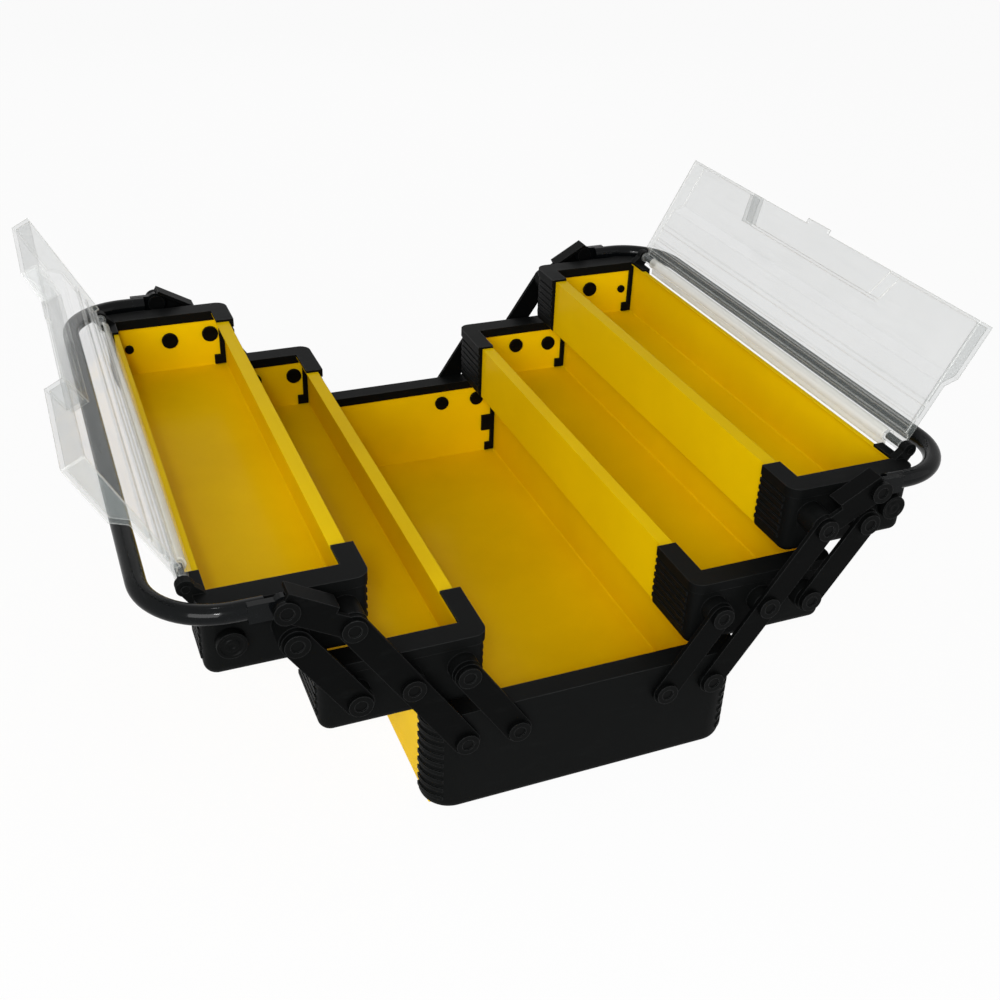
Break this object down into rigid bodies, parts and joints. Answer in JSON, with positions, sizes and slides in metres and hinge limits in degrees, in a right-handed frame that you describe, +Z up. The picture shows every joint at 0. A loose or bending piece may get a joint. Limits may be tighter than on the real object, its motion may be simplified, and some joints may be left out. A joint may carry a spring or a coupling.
{
  "type": "cantilever tool box",
  "caption": "Open cantilever tool box: yellow sheet-metal trays with black ribbed end caps, parallel swing links, clear hinged lids and tube handles that fold it shut.",
  "frame": {"origin": "middle of the base tray's underside", "axes": "+X across the box, the way the right-hand trays swing out; +Y along its length; +Z up"},
  "size_m": [0.592, 0.4626, 0.282],
  "materials": {
    "yellow_paint": "satin",
    "black_plastic": "satin",
    "black_links": "satin",
    "black_fittings": "satin",
    "black_tube": "gloss",
    "clear_plastic": "clear"
  },
  "bodies": {
    "base": {"base_pan": "yellow_paint", "base_cap_near": "black_plastic", "base_cap_far": "black_plastic", "rivets_base": "black_fittings"},
    "arms_right": {"long_arm_right_near": "black_links", "long_arm_right_far": "black_links", "rivets_handle_right": "black_fittings"},
    "mid_tray_right": {"mid_pan_right": "yellow_paint", "mid_cap_right_near": "black_plastic", "mid_cap_right_far": "black_plastic", "rivets_mid_right": "black_fittings"},
    "top_tray_right": {"top_pan_right": "yellow_paint", "top_cap_right_near": "black_plastic", "top_cap_right_far": "black_plastic", "rivets_top_right": "black_fittings", "stops_right": "black_fittings"},
    "inner_links_right": {"inner_link_right_near": "black_links", "inner_link_right_far": "black_links"},
    "outer_links_right": {"outer_link_right_near": "black_links", "outer_link_right_far": "black_links"},
    "handle_right_body": {"handle_right": "black_tube"},
    "lid_right_body": {"lid_right": "clear_plastic", "lid_pins_right": "black_fittings"},
    "arms_left": {"long_arm_left_near": "black_links", "long_arm_left_far": "black_links", "rivets_handle_left": "black_fittings"},
    "mid_tray_left": {"mid_pan_left": "yellow_paint", "mid_cap_left_near": "black_plastic", "mid_cap_left_far": "black_plastic", "rivets_mid_left": "black_fittings"},
    "top_tray_left": {"top_pan_left": "yellow_paint", "top_cap_left_near": "black_plastic", "top_cap_left_far": "black_plastic", "rivets_top_left": "black_fittings", "stops_left": "black_fittings"},
    "inner_links_left": {"inner_link_left_near": "black_links", "inner_link_left_far": "black_links"},
    "outer_links_left": {"outer_link_left_near": "black_links", "outer_link_left_far": "black_links"},
    "handle_left_body": {"handle_left": "black_tube"},
    "lid_left_body": {"lid_left": "clear_plastic", "lid_pins_left": "black_fittings"}
  },
  "joints": [
    {"name": "fold_right", "type": "hinge", "parent": "base", "child": "arms_right", "pos_m": [0.088, 0, 0.0595], "axis": [0, -1, 0], "range_deg": [0, 66.63]},
    {"name": "mid_level_right", "type": "hinge", "parent": "arms_right", "child": "mid_tray_right", "pos_m": [0.123, 0, 0.11275], "axis": [0, -1, 0], "range_deg": [-66.68, 0.05]},
    {"name": "top_level_right", "type": "hinge", "parent": "arms_right", "child": "top_tray_right", "pos_m": [0.158, 0, 0.166], "axis": [0, -1, 0], "range_deg": [-66.68, 0.05]},
    {"name": "inner_swing_right", "type": "hinge", "parent": "base", "child": "inner_links_right", "pos_m": [0.053, 0, 0.0595], "axis": [0, -1, 0], "range_deg": [-0.05, 66.68]},
    {"name": "outer_swing_right", "type": "hinge", "parent": "mid_tray_right", "child": "outer_links_right", "pos_m": [0.15575, 0, 0.11075], "axis": [0, -1, 0], "range_deg": [-0.05, 66.68]},
    {"name": "handle_swing_right", "type": "hinge", "parent": "arms_right", "child": "handle_right_body", "pos_m": [0.19525, 0, 0.1875], "axis": [0, -1, 0], "range_deg": [-0.05, 21.86]},
    {"name": "lid_swing_right", "type": "hinge", "parent": "top_tray_right", "child": "lid_right_body", "pos_m": [0.243, 0, 0.1915], "axis": [0, -1, 0], "range_deg": [-0.05, 118.05]},
    {"name": "fold_left", "type": "hinge", "parent": "base", "child": "arms_left", "pos_m": [-0.088, 0, 0.0595], "axis": [0, 1, 0], "range_deg": [0, 66.63]},
    {"name": "mid_level_left", "type": "hinge", "parent": "arms_left", "child": "mid_tray_left", "pos_m": [-0.123, 0, 0.11275], "axis": [0, 1, 0], "range_deg": [-66.68, 0.05]},
    {"name": "top_level_left", "type": "hinge", "parent": "arms_left", "child": "top_tray_left", "pos_m": [-0.158, 0, 0.166], "axis": [0, 1, 0], "range_deg": [-66.68, 0.05]},
    {"name": "inner_swing_left", "type": "hinge", "parent": "base", "child": "inner_links_left", "pos_m": [-0.053, 0, 0.0595], "axis": [0, 1, 0], "range_deg": [-0.05, 66.68]},
    {"name": "outer_swing_left", "type": "hinge", "parent": "mid_tray_left", "child": "outer_links_left", "pos_m": [-0.15575, 0, 0.11075], "axis": [0, 1, 0], "range_deg": [-0.05, 66.68]},
    {"name": "handle_swing_left", "type": "hinge", "parent": "arms_left", "child": "handle_left_body", "pos_m": [-0.19525, 0, 0.1875], "axis": [0, 1, 0], "range_deg": [-0.05, 21.86]},
    {"name": "lid_swing_left", "type": "hinge", "parent": "top_tray_left", "child": "lid_left_body", "pos_m": [-0.243, 0, 0.1915], "axis": [0, 1, 0], "range_deg": [-0.05, 118.05]}
  ],
  "couplings": [
    {"joint": "mid_level_right", "follows": "fold_right", "ratio": -1},
    {"joint": "top_level_right", "follows": "fold_right", "ratio": -1},
    {"joint": "inner_swing_right", "follows": "fold_right", "ratio": 1},
    {"joint": "outer_swing_right", "follows": "fold_right", "ratio": 1},
    {"joint": "handle_swing_right", "follows": "fold_right", "ratio": 0.3272},
    {"joint": "lid_swing_right", "follows": "fold_right", "ratio": 1.7709},
    {"joint": "mid_level_left", "follows": "fold_left", "ratio": -1},
    {"joint": "top_level_left", "follows": "fold_left", "ratio": -1},
    {"joint": "inner_swing_left", "follows": "fold_left", "ratio": 1},
    {"joint": "outer_swing_left", "follows": "fold_left", "ratio": 1},
    {"joint": "handle_swing_left", "follows": "fold_left", "ratio": 0.3272},
    {"joint": "lid_swing_left", "follows": "fold_left", "ratio": 1.7709}
  ]
}
